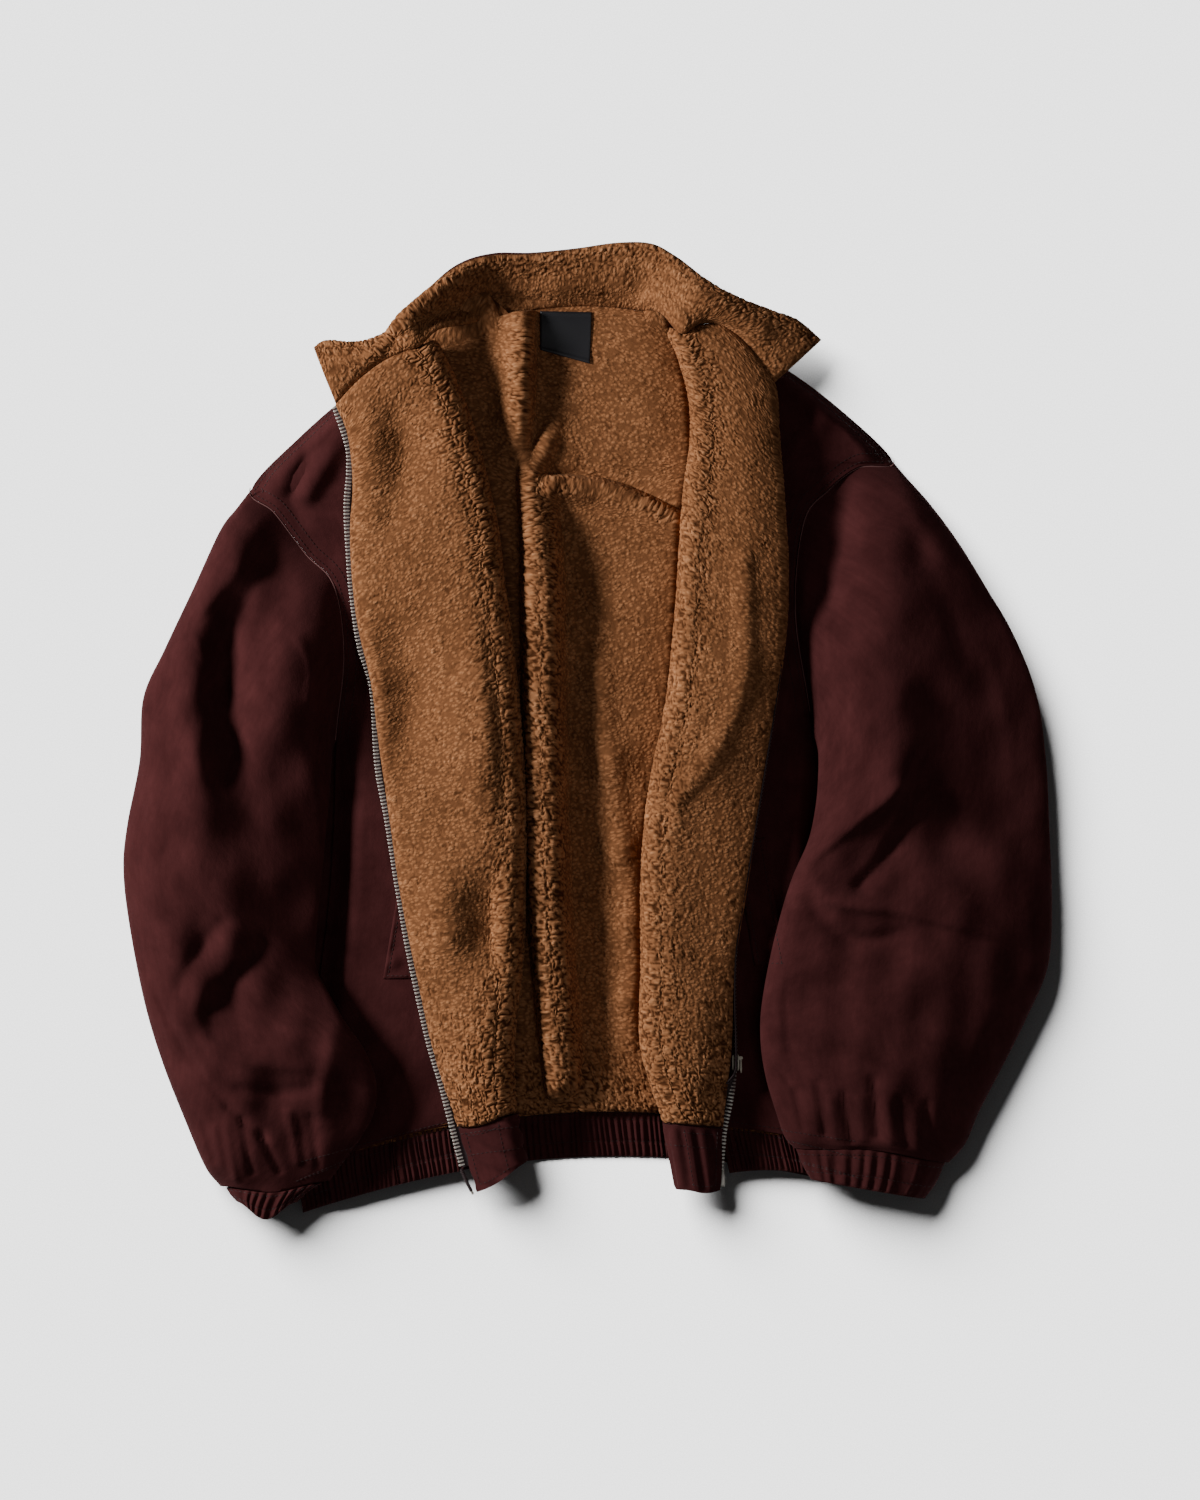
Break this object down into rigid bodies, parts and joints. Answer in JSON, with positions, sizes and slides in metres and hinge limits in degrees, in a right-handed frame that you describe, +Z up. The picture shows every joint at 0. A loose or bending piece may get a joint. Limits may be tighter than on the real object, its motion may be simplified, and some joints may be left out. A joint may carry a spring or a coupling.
{
  "type": "fleece jacket",
  "caption": "Short zip-front blouson laid flat on its back, fronts folded outwards over a fleece lining, with full sleeves, elastic cuffs and hem, and a tall fleece-lined collar.",
  "frame": {"origin": "centre of the bounding box in plan, on the surface the garment lies on", "axes": "+Z up from the surface, +Y towards the collar, +X towards the right as seen from above"},
  "size_m": [0.743, 0.7818, 0.0622],
  "materials": {
    "canvas": "washed cotton canvas, brushed and slightly worn on its ridges",
    "fleece": "curly sherpa fleece pile",
    "tape": "woven zip tape, matt",
    "zip_metal": "nickel-plated, satin",
    "label_cloth": "plain woven satin, left bare"
  },
  "bodies": {
    "jacket": {"back_shell": "canvas", "front_shell_left": "canvas", "front_shell_right": "canvas", "sleeve_left": "canvas", "sleeve_right": "canvas", "cuff_left": "canvas", "cuff_right": "canvas", "collar_shell": "canvas", "hem_band_back": "canvas", "hem_band_left": "canvas", "hem_band_right": "canvas", "hem_end_left": "canvas", "hem_end_right": "canvas", "pocket_welt_left": "canvas", "pocket_welt_right": "canvas", "back_lining": "fleece", "front_lining_left": "fleece", "front_lining_right": "fleece", "collar_lining": "fleece", "zip_tape_left": "tape", "zip_tape_right": "tape", "zip_pin_left": "tape", "zip_chain_left": "zip_metal", "zip_chain_right": "zip_metal", "zip_slider": "zip_metal", "zip_box_right": "zip_metal", "label": "label_cloth"},
    "pull": {"zip_pull": "zip_metal"}
  },
  "joints": [
    {"name": "pull_hinge", "type": "hinge", "parent": "jacket", "child": "pull", "pos_m": [0.1233, -0.2632, 0.02175], "axis": [0, 0, 1], "range_deg": [0, 150]}
  ]
}
